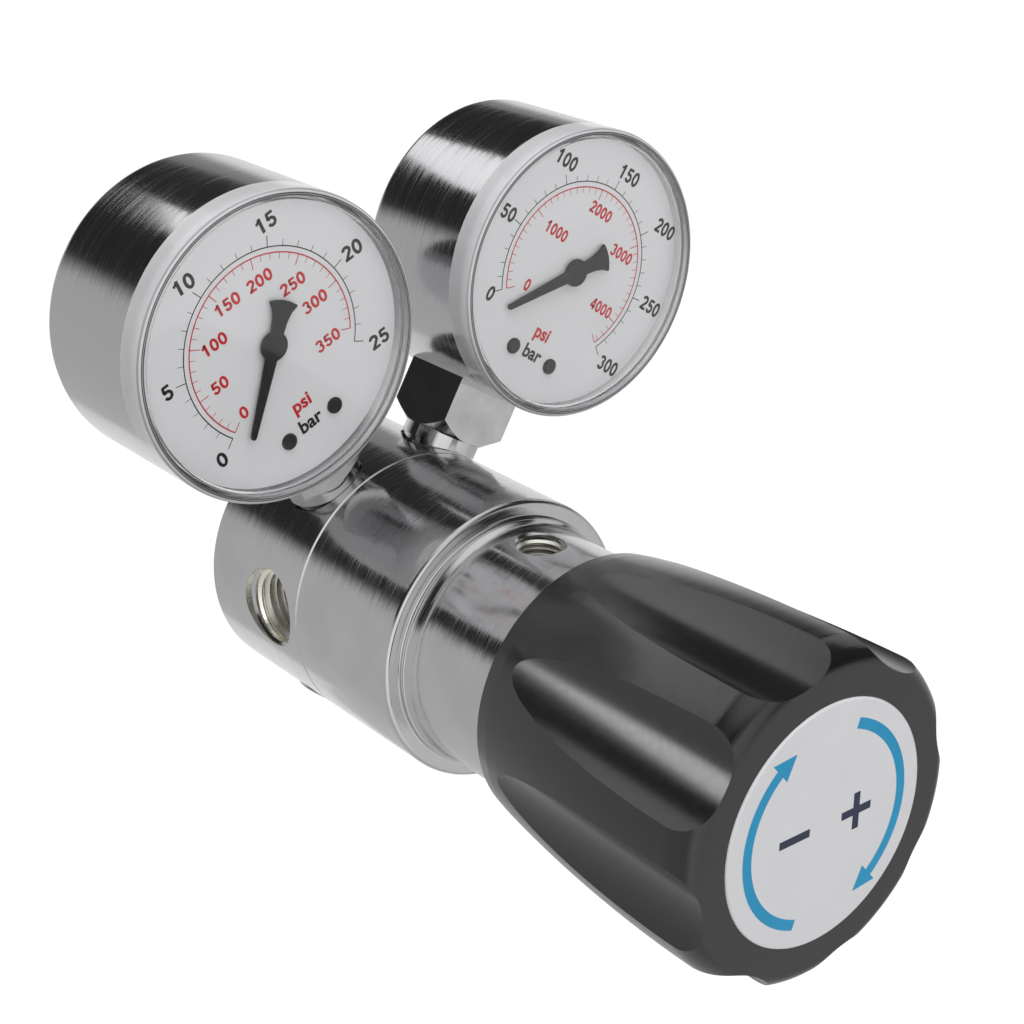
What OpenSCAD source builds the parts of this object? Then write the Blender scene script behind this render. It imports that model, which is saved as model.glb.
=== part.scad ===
// Line pressure regulator with two Bourdon gauges.
// Every module draws its piece in an axial frame: z runs forward from the rear face to the knob,
// y points up and x to the right as seen from the front. axial() turns that frame into the part's own.

/* [Body] */
// Diameter of the body and of the bonnet's skirt
body_d = 48.4; // [47:0.1:54]
// Length of the body behind the bonnet's skirt
body_len = 26.6; // [26:0.1:32]
// Diameter of the threaded spigot that the bonnet screws onto
spigot_d = 40; // [38:0.5:41]
// Length of the spigot in front of the body
spigot_len = 11.4; // [10:0.1:14]
// Chamfer round the rear edge
rear_chamfer = 0.8; // [0.4:0.1:1.5]
// Chamfer of the two edges that meet at the seam between body and bonnet
seam_chamfer = 0.25; // [0.1:0.05:0.4]
// Diameter of the two tapped mounting holes in the rear face
mount_hole_d = 4.2; // [3.4:0.1:6]
// Depth of the mounting holes
mount_hole_depth = 8; // [6:0.5:9]
// Distance between the mounting holes
mount_hole_span = 30; // [26:0.5:34]

/* [Ports] */
// Distance of all six port axes from the rear face
port_z = 18; // [17:0.1:19]
// Wall diameter of a port's thread
port_d = 12.8; // [12:0.1:13]
// Depth of a port's thread below the crown of the body
port_depth = 10; // [9:0.1:10]
// Diameter of the plain recess at a port's mouth
port_mouth_d = 13.7; // [13.6:0.1:14.4]
// Depth of that recess below the crown of the body
port_recess = 1.2; // [0.8:0.1:1.6]
// Diameter of the drilled end behind a port's thread
port_drill_d = 10.6; // [9:0.1:11]
// Length of the drilled end
port_drill_depth = 1.8; // [1:0.1:2]
// Diameter of the gas galleries
gallery_d = 3.4; // [2.5:0.1:4]
// Distance of the low-pressure galleries from the body's axis
gallery_offset = 12.2; // [11.5:0.1:12.5]
// Depth of a port plug's face below the crown of the body
plug_sink = 0.35; // [0.1:0.05:1]
// Length of a port plug
plug_len = 8; // [6:0.5:8.5]
// Key size of a plug's hexagon socket
plug_key = 7; // [6:0.5:8]

/* [Bonnet] */
// Length of the wide skirt, from the body to its front edge
skirt_len = 25.4; // [22:0.1:28]
// Rounding of the skirt's front edge
skirt_round = 0.8; // [0.3:0.1:2]
// Length of the stepped ring in front of the skirt
ring_len = 1; // [0.8:0.1:2]
// Diameter of the stepped ring
ring_d = 43; // [42.6:0.1:44]
// Diameter of the bonnet in front of the ring
bonnet_d = 41.4; // [40:0.1:42]
// Distance from the skirt's front edge to the bonnet's front face
bonnet_reach = 34; // [32.5:0.1:38.5]
// Thickness of the bonnet's front wall
front_wall = 6; // [5:0.5:8]
// Diameter of the spring chamber
chamber_d = 31; // [29:0.5:32]
// Diameter of the boss that the adjusting screw runs in
boss_d = 18; // [16:0.5:22]
// Length of that boss
boss_len = 6; // [4:0.5:7]
// Wall diameter of the vent port
vent_d = 8; // [6.5:0.1:8.5]
// Width of the chamfer at the vent's mouth
vent_chamfer = 0.4; // [0.2:0.05:0.6]
// Distance from the skirt's front edge to the vent's axis
vent_reach = 8.8; // [8.4:0.1:10.5]

/* [Valve] */
// Diameter of the high-pressure chamber
hp_d = 10.4; // [10:0.1:11]
// Depth of the low-pressure chamber under the diaphragm
lp_depth = 2; // [1.5:0.1:3]
// Diameter of the low-pressure chamber
lp_d = 29; // [28:0.5:30]
// Diameter of the bore that the seat and its retainer sit in
seat_bore_d = 14.1; // [13:0.1:15]
// Length of the seat's bore
seat_bore_len = 11.5; // [11:0.1:12]
// Thickness of the valve seat
seat_t = 2.5; // [2:0.1:3]
// Diameter of the seat's orifice
orifice_d = 2.8; // [2.4:0.1:3.2]
// Length of the seat retainer
retainer_len = 8; // [7:0.1:8.5]
// Diameter of the poppet's stem
poppet_stem_d = 1.6; // [1.2:0.1:2]
// Diameter of the poppet's head
poppet_head_d = 7.6; // [7:0.1:8]
// Length of the poppet's cone
poppet_cone = 2.6; // [2:0.1:3]
// Diameter of the poppet's guide pin
poppet_guide_d = 4.4; // [4:0.1:4.8]
// Depth of the guide bore behind the high-pressure chamber
guide_depth = 4.5; // [3:0.1:5]
// Length of the high-pressure chamber
hp_len = 15.5; // [14:0.1:16.5]
// Wall of the inlet filter sleeve
filter_wall = 0.7; // [0.5:0.1:0.8]
// Cross-section diameter of the retainer's seal ring
seal_d = 1.4; // [1:0.1:1.6]
// Wire diameter of the poppet spring
poppet_wire_d = 0.6; // [0.4:0.1:0.7]
// Turns of the poppet spring
poppet_turns = 6; // [4:0.5:8]

/* [Diaphragm and range spring] */
// Thickness of the diaphragm
diaphragm_t = 0.3; // [0.2:0.05:0.5]
// Height of the diaphragm's waves
wave_h = 0.6; // [0.3:0.05:0.8]
// Thickness of the thrust ring that clamps the diaphragm
thrust_ring_t = 2.5; // [2:0.1:4]
// Diameter of the diaphragm plate
plate_d = 26; // [25:0.5:27]
// Thickness of the diaphragm plate
plate_t = 3; // [2.5:0.1:4]
// Height of the bosses that centre the range spring
spring_boss_h = 2.5; // [2:0.1:4]
// Wire diameter of the range spring
range_wire_d = 3.6; // [3:0.1:3.8]
// Mean diameter of the range spring
range_mean_d = 20.6; // [20:0.1:21]
// Turns of the range spring
range_turns = 5.5; // [4.5:0.5:6]
// Thickness of the spring button's disc
button_t = 3.4; // [3:0.1:4.5]
// Diameter of the spring button
button_d = 29; // [26:0.5:29.5]
// Diameter of the thrust ball
ball_d = 5; // [4:0.1:6]
// Room in front of the spring button when the knob is backed out
button_room = 1.6; // [1.2:0.1:3]

/* [Knob] */
// Length of the knob from its rear edge to its front face
knob_len = 50.3; // [48:0.1:54]
// Distance from the skirt's front edge to the knob's rear edge
knob_reach = 21; // [19.5:0.1:24.5]
// Diameter at the rear edge
knob_rear_d = 45.4; // [45:0.1:47]
// Largest diameter, near the front
knob_front_d = 53.6; // [52:0.1:58]
// Diameter where the rounded front edge meets the front face
knob_face_d = 47.2; // [44:0.1:50]
// Length of the rounded front edge
knob_round = 5.1; // [4:0.1:6]
// Number of finger flutes
flutes = 8; // [6:1:9]
// Diameter of the cutter that makes a flute
flute_d = 30; // [26:0.5:34]
// Distance of the flute floor from the axis
flute_floor_r = 23.7; // [23.7:0.1:24.4]
// Clock angle of the first flute
flute_clock = -13; // [-22.5:0.5:22.5]
// Wall between the bonnet and the knob's skirt bore
knob_gap = 0.5; // [0.3:0.05:0.6]
// Diameter of the hub inside the knob
hub_d = 22; // [20:0.5:26]
// Diameter of the label cap
label_d = 38.5; // [36:0.5:40]
// Thickness of the label cap
label_t = 1.3; // [0.8:0.1:1.8]
// Height of the label cap above the knob's front face
label_rise = 0.3; // [0:0.1:0.5]
// Diameter of the adjusting screw
screw_d = 10; // [8:0.5:11]
// Width across flats of the insert moulded into the hub
insert_af = 14; // [13:0.5:15]
// Room between the knob screw's head and the label cap
head_room = 4.8; // [1:0.1:5]
// Diameter of the screw that holds the knob
knob_screw_d = 5; // [4:0.5:5]

/* [Gauges] */
// Distance of the gauge centres from the body's axis
gauge_reach = 60.3; // [59:0.1:64]
// Clock angle of the gauges to each side
gauge_clock = 30; // [29:0.5:31]
// Diameter of a gauge case
case_d = 49.5; // [47:0.1:51]
// Thickness of the case wall
case_wall = 1; // [0.8:0.1:1.4]
// Distance of the dial's front from the rear face
dial_z = 32.1; // [31.5:0.1:33]
// Distance from the dial's front back to the case's back
case_depth = 25; // [24:0.1:27]
// Rounding of the case's back edge
case_round = 1.5; // [1:0.1:2.5]
// Thickness of the dial plate
dial_t = 0.5; // [0.4:0.05:0.8]
// Height of the lens wall behind the dial's front
lens_lap = 1.8; // [1.5:0.1:3]
// Wall of the clear lens
lens_wall = 1.4; // [0.9:0.05:1.6]
// Room between the dial and the lens
lens_room = 2; // [1.5:0.1:2.5]
// Thickness of the lens face
lens_t = 1.1; // [0.8:0.1:1.5]
// Width across flats of the gauge stem
stem_af = 14; // [13:0.5:15]
// Height of the stem's neck above the body's crown
neck_h = 2.1; // [1.8:0.1:3]
// Diameter of the stem's neck
neck_d = 13.5; // [12.8:0.1:13.6]
// Length of the stem's male thread
stem_thread_len = 8.6; // [7:0.1:9]
// Bore of the stem
stem_bore_d = 3; // [2:0.1:4]
// Distance of the pointer's tip from its axis
pointer_len = 15; // [13:0.1:15.2]
// Clock angle of the pointer on its stop
pointer_clock = -132.5; // [-140:0.5:-125]
// Distance of the dial screws from the dial's centre
dial_screw_r = 16.6; // [16.4:0.1:17]
// Clock angle by which the dial is turned on its gauge
dial_turn = 4.9; // [0:0.1:6]
// Angle between each dial screw and the dial's lowest point
dial_screw_angle = 16.7; // [15:0.1:18]

/* [Gauge movement] */
// Mean radius of the Bourdon tube
tube_r = 17.6; // [17.5:0.1:18.5]
// Width of the tube's flattened section along the gauge's axis
tube_w = 6; // [5:0.1:7]
// Thickness of the tube's section
tube_t = 2.4; // [2:0.1:2.6]
// Wall of the tube
tube_wall = 0.4; // [0.3:0.05:0.5]
// Clock angle at which the tube ends
tube_end = 100; // [95:1:105]
// Tooth size of the movement's gears
gear_m = 0.3; // [0.28:0.01:0.32]
// Teeth of the pinion
pinion_teeth = 8; // [8:1:10]
// Teeth of the sector if it were a full wheel
sector_teeth = 80; // [78:1:82]
// Clock angle of the sector's pivot round the pinion
sector_clock = 170; // [168:1:172]
// Length of the sector's tail
tail_len = 6.5; // [6:0.1:7]
// Thickness of the movement plates
movement_t = 1; // [0.8:0.1:1.2]
// Distance between the movement plates
movement_gap = 3.4; // [3:0.1:3.6]

/* [Hidden] */
$fn = 96;
eps = 0.01;
run_gap = 0.05;
fit_gap = 0.1;
free_gap = 0.3;
body_r = body_d/2;
spigot_z = body_len + spigot_len;
clocks = [-150, -90, -30, 30, 90, 150];
low_clocks = [-150, -90, -30];
high_clocks = [30, 90, 150];
lp_floor_z = spigot_z - lp_depth;
seat_z = lp_floor_z - seat_bore_len;
hp_z = seat_z - hp_len;
port_floor_r = body_r - port_depth;
thread_r = port_d/2 - fit_gap;
diaphragm_z = spigot_z;
ring_z = diaphragm_z + diaphragm_t;
shoulder_z = ring_z + thrust_ring_t;
plate_z = ring_z + run_gap;
range_z = plate_z + plate_t;
skirt_z = body_len + skirt_len;
bonnet_z = skirt_z + bonnet_reach;
chamber_z = bonnet_z - front_wall;
button_z = chamber_z - button_room - button_t;
range_len = button_z - range_z;
spring_boss_d = range_mean_d - range_wire_d - 1;
ball_z = button_z + button_t + ball_d/2 - 1.2;
screw_z = ball_z + ball_d/2 + fit_gap;
vent_z = skirt_z + vent_reach;
knob_z = skirt_z + knob_reach;
face_z = knob_z + knob_len;
travel = 6;
hub_z = bonnet_z + boss_len + travel + 1;
insert_z = hub_z + 0.5;
label_z = face_z + label_rise;
recess_z = label_z - label_t;
head_z = recess_z - head_room - knob_screw_d;
screw_end_z = head_z - 1;
case_r = case_d/2;
case_z = dial_z - case_depth;
lip_z = dial_z - dial_t - run_gap;
lens_r = case_r + 0.05;
lens_z = dial_z - lens_lap;
lens_in_z = dial_z + lens_room - 0.2;
lens_face_z = lens_in_z + lens_t;
dial_r = lens_r - lens_wall - 0.35;
stem_end_y = neck_h + body_r - gauge_reach;
stem_top_y = -12;
stem_chamfer_h = 2.6;
post_angles = [180 + dial_turn - dial_screw_angle, 180 + dial_turn + dial_screw_angle];
frame_z = port_z + stem_af/2;
front_plate_z = frame_z + movement_t + movement_gap;
gear_z = frame_z + movement_t + 1.2;
gear_t = 1;
link_z = gear_z + gear_t + free_gap;
pinion_r = gear_m*pinion_teeth/2;
sector_r = gear_m*sector_teeth/2;
pivot_r = pinion_r + sector_r;
sector_pitch = 360/sector_teeth;
tail_clock = sector_clock - 94;
pointer_z = dial_z + 0.5;
tube_z = port_z - 1;

// Points of an arc, for the rounded parts of a profile
function arc(c, r, a0, a1, n = 6) =
    [for (i = [0:n]) let (a = a0 + (a1 - a0)*i/n) c + r*[cos(a), sin(a)]];

// A point at a clock angle, measured from up and clockwise as seen from the front
function clock(a, r) = [r*sin(a), r*cos(a)];

// The axial frame placed in the part's own frame, where forward is -Y
module axial() {
    rotate([90, 0, 0]) children();
}

// What follows points outward at a clock angle, with z along that direction
module radial(a, z) {
    translate([0, 0, z]) rotate([0, 0, -a]) rotate([-90, 0, 0]) children();
}

// A revolved outline given as [radius, z] points
module revolved(points) {
    rotate_extrude() polygon(points);
}

// A round bar from one z to another
module bar(d, z0, z1) {
    translate([0, 0, z0]) cylinder(d = d, h = z1 - z0);
}

// One threaded port with its chamfered mouth and drilled end
module port_cut(a) {
    radial(a, port_z) {
        bar(port_d, port_floor_r, body_r + 1);
        bar(port_drill_d, port_floor_r - port_drill_depth, port_floor_r + eps);
        bar(port_mouth_d, body_r - port_recess, body_r + 1);
        translate([0, 0, body_r - port_recess - 0.4]) cylinder(d1 = port_d, d2 = port_mouth_d, h = 0.4 + eps);
    }
}

module body_solid() {
    revolved([[0, 0], [body_r - rear_chamfer, 0], [body_r, rear_chamfer],
        [body_r, body_len - seam_chamfer], [body_r - seam_chamfer, body_len], [spigot_d/2, body_len], [spigot_d/2, spigot_z - 0.5], [spigot_d/2 - 0.5, spigot_z], [0, spigot_z]]);
}

module body() {
    color("silver") axial() difference() {
        body_solid();
        for (a = clocks) port_cut(a);
        for (a = high_clocks) radial(a, port_z) bar(gallery_d, hp_d/2 - 1, port_floor_r);
        for (a = low_clocks) translate([each clock(a, gallery_offset), port_z + 2])
            cylinder(d = gallery_d, h = lp_floor_z - port_z);
        bar(lp_d, lp_floor_z, spigot_z + 1);
        bar(seat_bore_d, seat_z, lp_floor_z + eps);
        bar(hp_d, hp_z, seat_z + eps);
        bar(poppet_guide_d + 2*run_gap, hp_z - guide_depth, hp_z + eps);
        for (x = [-1, 1]) translate([x*mount_hole_span/2, 0, -1]) cylinder(d = mount_hole_d, h = mount_hole_depth + 1);
    }
}

module bonnet_outline() {
    ring_r = ring_d/2;
    step = ring_r - 0.2 - bonnet_d/2;
    cove_len = 1.6;
    cove_r = (cove_len*cove_len + step*step)/(2*step);
    cove_z = skirt_z + ring_len + cove_len;
    polygon(concat(
        [[screw_d/2 + run_gap, chamber_z], [chamber_d/2, chamber_z], [chamber_d/2, shoulder_z],
            [spigot_d/2 + fit_gap, shoulder_z], [spigot_d/2 + fit_gap, body_len],
            [body_r - seam_chamfer, body_len], [body_r, body_len + seam_chamfer], [body_r, skirt_z - skirt_round]],
        arc([body_r - skirt_round, skirt_z - skirt_round], skirt_round, 10, 90, 8),
        arc([ring_r + 0.3, skirt_z + 0.3], 0.3, -90, -180, 3),
        arc([ring_r - 0.2, skirt_z + ring_len - 0.2], 0.2, 0, 75, 3),
        arc([bonnet_d/2 + cove_r, cove_z], cove_r, -180 + asin(cove_len/cove_r), -180, 6),
        [[bonnet_d/2, bonnet_z - 2], [bonnet_d/2 - 2, bonnet_z], [boss_d/2, bonnet_z],
            [boss_d/2, bonnet_z + boss_len - 0.5], [boss_d/2 - 0.5, bonnet_z + boss_len],
            [screw_d/2 + run_gap, bonnet_z + boss_len]]));
}

module bonnet() {
    color("silver") axial() difference() {
        rotate_extrude() bonnet_outline();
        radial(0, vent_z) {
            bar(vent_d, chamber_d/2 - 1, bonnet_d/2 + 1);
            translate([0, 0, bonnet_d/2 - vent_chamfer])
                cylinder(d1 = vent_d, d2 = vent_d + 2*vent_chamfer + 1, h = vent_chamfer + 0.5);
        }
    }
}

module inlet_filter() {
    r = hp_d/2 - run_gap;
    color("darkgoldenrod") axial() difference() {
        bar(2*r, hp_z, seat_z - run_gap);
        bar(2*(r - filter_wall), hp_z - 1, seat_z + 1);
    }
}

module valve_seat() {
    color("ivory") axial() revolved([[orifice_d/2, seat_z], [seat_bore_d/2 - fit_gap, seat_z],
        [seat_bore_d/2 - fit_gap, seat_z + seat_t], [orifice_d/2 + 0.6, seat_z + seat_t],
        [orifice_d/2, seat_z + seat_t - 0.8]]);
}

module seat_retainer() {
    z0 = seat_z + seat_t;
    r = seat_bore_d/2 - run_gap;
    groove_z = z0 + retainer_len/2;
    color("silver") axial() difference() {
        bar(2*r, z0, z0 + retainer_len);
        bar(orifice_d + 1.6, z0 - 1, z0 + retainer_len + 1);
        bar(9, z0 + retainer_len - 3, z0 + retainer_len + 1, $fn = 6);
        translate([0, 0, groove_z - seal_d/2 - fit_gap/2]) difference() {
            cylinder(d = seat_bore_d + 2, h = seal_d + fit_gap);
            translate([0, 0, -1]) cylinder(r = r - seal_d, h = seal_d + 3);
        }
    }
}

module retainer_seal() {
    color("black") axial() translate([0, 0, seat_z + seat_t + retainer_len/2])
        rotate_extrude() translate([seat_bore_d/2 - run_gap - seal_d/2, 0]) circle(d = seal_d - run_gap, $fn = 24);
}

module poppet() {
    tip_r = orifice_d/2 - 0.15;
    cone_z = seat_z - 0.1;
    flange_z = cone_z - poppet_cone;
    color("gainsboro") axial() revolved([[0, hp_z - guide_depth + 1], [poppet_guide_d/2, hp_z - guide_depth + 1],
        [poppet_guide_d/2, flange_z - 0.6], [poppet_head_d/2, flange_z - 0.6], [poppet_head_d/2, flange_z],
        [poppet_head_d/2 - 0.6, flange_z], [tip_r, cone_z], [poppet_stem_d/2, cone_z],
        [poppet_stem_d/2, spigot_z - run_gap - 0.3], [poppet_stem_d/2 - 0.3, spigot_z - run_gap], [0, spigot_z - run_gap]]);
}

// A round wire wound from z = 0 to len, as one closed sweep
module coil(mean_d, wire_d, len, turns, sides = 8, steps = 20) {
    n = ceil(turns*steps);
    rise = len - wire_d;
    lean = atan(rise/(turns*PI*mean_d));
    points = [for (i = [0:n], j = [0:sides - 1])
        let (a = 360*turns*i/n, b = 360*j/sides, u = wire_d/2*cos(b), v = wire_d/2*sin(b),
            z = wire_d/2 + rise*i/n)
        [(mean_d/2 + u)*cos(a) + v*sin(lean)*sin(a), (mean_d/2 + u)*sin(a) - v*sin(lean)*cos(a), z + v*cos(lean)]];
    sides_faces = [for (i = [0:n - 1], j = [0:sides - 1]) let (k = (j + 1) % sides)
        each [[i*sides + j, i*sides + k, (i + 1)*sides + k], [i*sides + j, (i + 1)*sides + k, (i + 1)*sides + j]]];
    caps = [[for (j = [sides - 1:-1:0]) j], [for (j = [0:sides - 1]) n*sides + j]];
    polyhedron(points, [for (f = concat(sides_faces, caps)) [for (i = [len(f) - 1:-1:0]) f[i]]]);
}

module poppet_spring() {
    z1 = seat_z - 0.1 - poppet_cone - 0.6;
    color("silver") axial() translate([0, 0, hp_z + fit_gap])
        coil(poppet_guide_d + poppet_wire_d + 0.8, poppet_wire_d, z1 - hp_z - 2*fit_gap, poppet_turns, 6, 16);
}

module diaphragm() {
    r0 = plate_d/2*0.55;
    r1 = lp_d/2;
    n = 24;
    wave = [for (i = [0:n]) let (t = i/n) [r0 + (r1 - r0)*t, -wave_h/2*(1 - cos(720*t))]];
    top = [for (p = wave) p + [0, diaphragm_t]];
    color("lightsteelblue") axial() translate([0, 0, diaphragm_z])
        rotate_extrude() polygon(concat([[0, 0]], wave, [[spigot_d/2 - 0.5, 0], [spigot_d/2 - 0.5, diaphragm_t]],
            [for (i = [n:-1:0]) top[i]], [[0, diaphragm_t]]));
}

module thrust_ring() {
    color("silver") axial() difference() {
        bar(spigot_d - 0.6, ring_z, shoulder_z);
        bar(lp_d, ring_z - 1, shoulder_z + 1);
    }
}

module diaphragm_plate() {
    color("gray") axial() revolved([[0, plate_z], [plate_d/2 - 0.4, plate_z], [plate_d/2, plate_z + 0.4],
        [plate_d/2, range_z], [spring_boss_d/2, range_z], [spring_boss_d/2, range_z + spring_boss_h - 0.6],
        [spring_boss_d/2 - 0.6, range_z + spring_boss_h], [0, range_z + spring_boss_h]]);
}

module range_spring() {
    color("dimgray") axial() translate([0, 0, range_z + fit_gap/2])
        coil(range_mean_d, range_wire_d, range_len - fit_gap, range_turns);
}

module spring_button() {
    top = button_z + button_t;
    color("gray") axial() difference() {
        revolved([[0, button_z - spring_boss_h], [spring_boss_d/2 - 0.6, button_z - spring_boss_h],
            [spring_boss_d/2, button_z - spring_boss_h + 0.6], [spring_boss_d/2, button_z], [button_d/2, button_z],
            [button_d/2, top - 0.4], [button_d/2 - 0.4, top], [0, top]]);
        translate([0, 0, ball_z]) sphere(d = ball_d + 2*run_gap);
    }
}

module thrust_ball() {
    color("gainsboro") axial() translate([0, 0, ball_z]) sphere(d = ball_d);
}

module adjusting_screw() {
    color("silver") axial() difference() {
        union() {
            revolved([[0, screw_z], [screw_d/2 - 1, screw_z], [screw_d/2, screw_z + 1],
                [screw_d/2, insert_z], [0, insert_z]]);
            translate([0, 0, insert_z - eps]) cylinder(d = screw_d - 1, h = screw_end_z - insert_z + eps, $fn = 6);
        }
        bar(knob_screw_d, screw_end_z - 10, screw_end_z + 1);
    }
}

function knob_r(t) = knob_rear_d/2 + (knob_front_d - knob_rear_d)/2*(1 - pow(1 - t, 2));

// Outer form of the knob: a crowned taper with a rounded front edge
module knob_outline() {
    body = knob_len - knob_round;
    n = 14;
    edge_r = (knob_front_d - knob_face_d)/2;
    side = [for (i = [1:n]) [knob_r(i/n), knob_z + body*i/n]];
    front = [for (i = [1:16]) let (a = 90*i/16)
        [knob_face_d/2 + edge_r*cos(a), knob_z + body + knob_round*sin(a)]];
    polygon(concat([[0, knob_z], [knob_rear_d/2 - 0.5, knob_z], [knob_rear_d/2, knob_z + 0.5]], side, front, [[0, face_z]]));
}

// The straight cutter of one flute, which runs out through the rounded front edge
module flute_cut() {
    translate([0, flute_floor_r + flute_d/2, 0]) bar(flute_d, knob_z - 1, face_z + 1);
}

module knob() {
    bore_d = bonnet_d + 2*knob_gap;
    bore_end = bonnet_z - 2 + travel + 1;
    inner_d = bore_d - 8;
    color([0.13, 0.13, 0.13]) axial() difference() {
        rotate_extrude() knob_outline();
        for (i = [0:flutes - 1]) rotate([0, 0, -flute_clock - 360*i/flutes]) flute_cut();
        bar(bore_d, knob_z - 1, bore_end);
        translate([0, 0, bore_end - eps]) cylinder(d1 = bore_d, d2 = inner_d, h = 4);
        difference() {
            bar(inner_d, bore_end + 4 - 2*eps, head_z);
            bar(hub_d, hub_z, head_z + 1);
        }
        bar(insert_af/cos(30), hub_z - 1, head_z, $fn = 6);
        bar(screw_d + 2, head_z - 1, recess_z + eps);
        bar(label_d + fit_gap, recess_z, face_z + 1);
    }
}

module knob_insert() {
    color("goldenrod") axial() difference() {
        bar(insert_af/cos(30) - fit_gap, insert_z, head_z, $fn = 6);
        bar(screw_d - 1 + fit_gap, insert_z - 1, screw_end_z, $fn = 6);
        bar(knob_screw_d + 0.4, screw_end_z - 1, head_z + 1);
    }
}

module knob_screw() {
    head = knob_screw_d*1.7;
    color("gray") axial() difference() {
        union() {
            bar(knob_screw_d - fit_gap, screw_end_z - 8, head_z + eps);
            bar(head, head_z, head_z + knob_screw_d);
        }
        bar(knob_screw_d*0.9, head_z + knob_screw_d/2, head_z + knob_screw_d + 1, $fn = 6);
    }
}

module label_cap() {
    color([0.87, 0.87, 0.88]) axial() revolved(concat(
        [[0, recess_z], [label_d/2, recess_z]],
        arc([label_d/2 - 0.4, label_z - 0.4], 0.4, 0, 90, 5), [[0, label_z]]));
}

module port_plugs() {
    face_r = body_r - plug_sink;
    color("silver") axial() for (a = [-150, 150]) radial(a, port_z) difference() {
        revolved([[0, face_r - plug_len], [thread_r - 0.8, face_r - plug_len], [thread_r, face_r - plug_len + 0.8],
            [thread_r, face_r - 0.3], [thread_r - 0.3, face_r], [0, face_r]]);
        bar(plug_key/cos(30), face_r - 4, face_r + 1, $fn = 6);
    }
}

// One gauge's frame: origin at the dial's centre line, y away from the body, z as in the axial frame
module gauge(side) {
    axial() rotate([0, 0, -side*gauge_clock]) translate([0, gauge_reach, 0]) children();
}

module gauge_case(side) {
    lip_r = lens_r - lens_wall - fit_gap;
    in_r = lip_r - 0.75;
    window = stem_af + 2*fit_gap;
    color("silver") gauge(side) difference() {
        revolved(concat([[0, case_z]], arc([case_r - case_round, case_z + case_round], case_round, -90, 0),
            [[case_r, lens_z - run_gap], [lip_r, lens_z - run_gap], [lip_r, lip_z], [in_r, lip_z],
                [in_r, case_z + case_wall], [0, case_z + case_wall]]));
        translate([-window/2, -case_r - 1, port_z - window/2]) cube([window, 6, window]);
        translate([0, 13, case_z - 1]) cylinder(d = 8, h = case_wall + 2);
        for (x = [-1, 1]) translate([4*x, -17, case_z - 1]) cylinder(d = 2.6, h = case_wall + 2);
    }
}

module gauge_lens(side) {
    in_r = lens_r - lens_wall;
    color([0.9, 0.94, 0.96, 0.4]) gauge(side) revolved(concat(
        [[in_r, lens_z], [lens_r, lens_z]],
        arc([lens_r - 0.8, lens_face_z - 0.5], 0.8, 0, 90, 5),
        [[in_r, lens_face_z + 0.3], [in_r - 0.3, lens_face_z], [0, lens_face_z], [0, lens_in_z],
            [in_r - 0.5, lens_in_z], [in_r, lens_in_z - 0.5]]));
}

module gauge_dial(side) {
    color([0.86, 0.86, 0.87]) gauge(side) difference() {
        bar(2*dial_r, dial_z - dial_t, dial_z);
        bar(3, dial_z - 2, dial_z + 1);
        for (a = post_angles) translate([each clock(a, dial_screw_r), dial_z - 2]) cylinder(d = 1.8, h = 4);
    }
}

module gauge_dial_screws(side) {
    color([0.15, 0.15, 0.15]) gauge(side) for (a = post_angles) translate([each clock(a, dial_screw_r), dial_z]) {
        revolved([[0, -4], [0.7, -4], [0.7, 0], [1.35, 0], [1.35, 0.25], [1.1, 0.45], [0, 0.45]]);
    }
}

// Pointer blade with its flared tail, drawn pointing up
module pointer_outline() {
    polygon(concat([[-1.1, 0], [-0.45, pointer_len - 0.45]], arc([0, pointer_len - 0.45], 0.45, 180, 0, 6),
        [[0.45, pointer_len - 0.45], [1.1, 0], [1.12, -2.2], [1.3, -4], [1.75, -5.5], [2.5, -6.6]],
        arc([0, 0], 7.25, -70.5, -109.5, 4), [[-2.5, -6.6], [-1.75, -5.5], [-1.3, -4], [-1.12, -2.2]]));
    circle(r = 2.35);
}

module gauge_pointer(side) {
    color([0.12, 0.12, 0.12]) gauge(side) rotate([0, 0, -pointer_clock]) difference() {
        union() {
            translate([0, 0, pointer_z]) linear_extrude(0.4) pointer_outline();
            bar(2.4, pointer_z - 0.25, pointer_z + eps);
        }
        bar(1.1, pointer_z - 1, pointer_z + 0.25);
    }
}

// A ring of straight-sided teeth: outer or root radius, tooth widths at root and tip
module teeth(r, height, root_w, tip_w, angles) {
    for (a = angles) rotate([0, 0, a])
        polygon([[-root_w/2, r - 0.15], [-tip_w/2, r + height], [tip_w/2, r + height], [root_w/2, r - 0.15]]);
}

module gauge_pinion(side) {
    root_r = pinion_r - 1.2*gear_m;
    first = -sector_clock + 180/pinion_teeth;
    color("goldenrod") gauge(side) {
        translate([0, 0, gear_z - 0.4]) linear_extrude(gear_t + 0.8) {
            circle(r = root_r);
            teeth(root_r, 2*gear_m, 1.1*gear_m, 0.5*gear_m, [for (i = [0:pinion_teeth - 1]) first + 360*i/pinion_teeth]);
        }
        bar(1, frame_z + 0.2, pointer_z + 0.2);
    }
}

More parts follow.
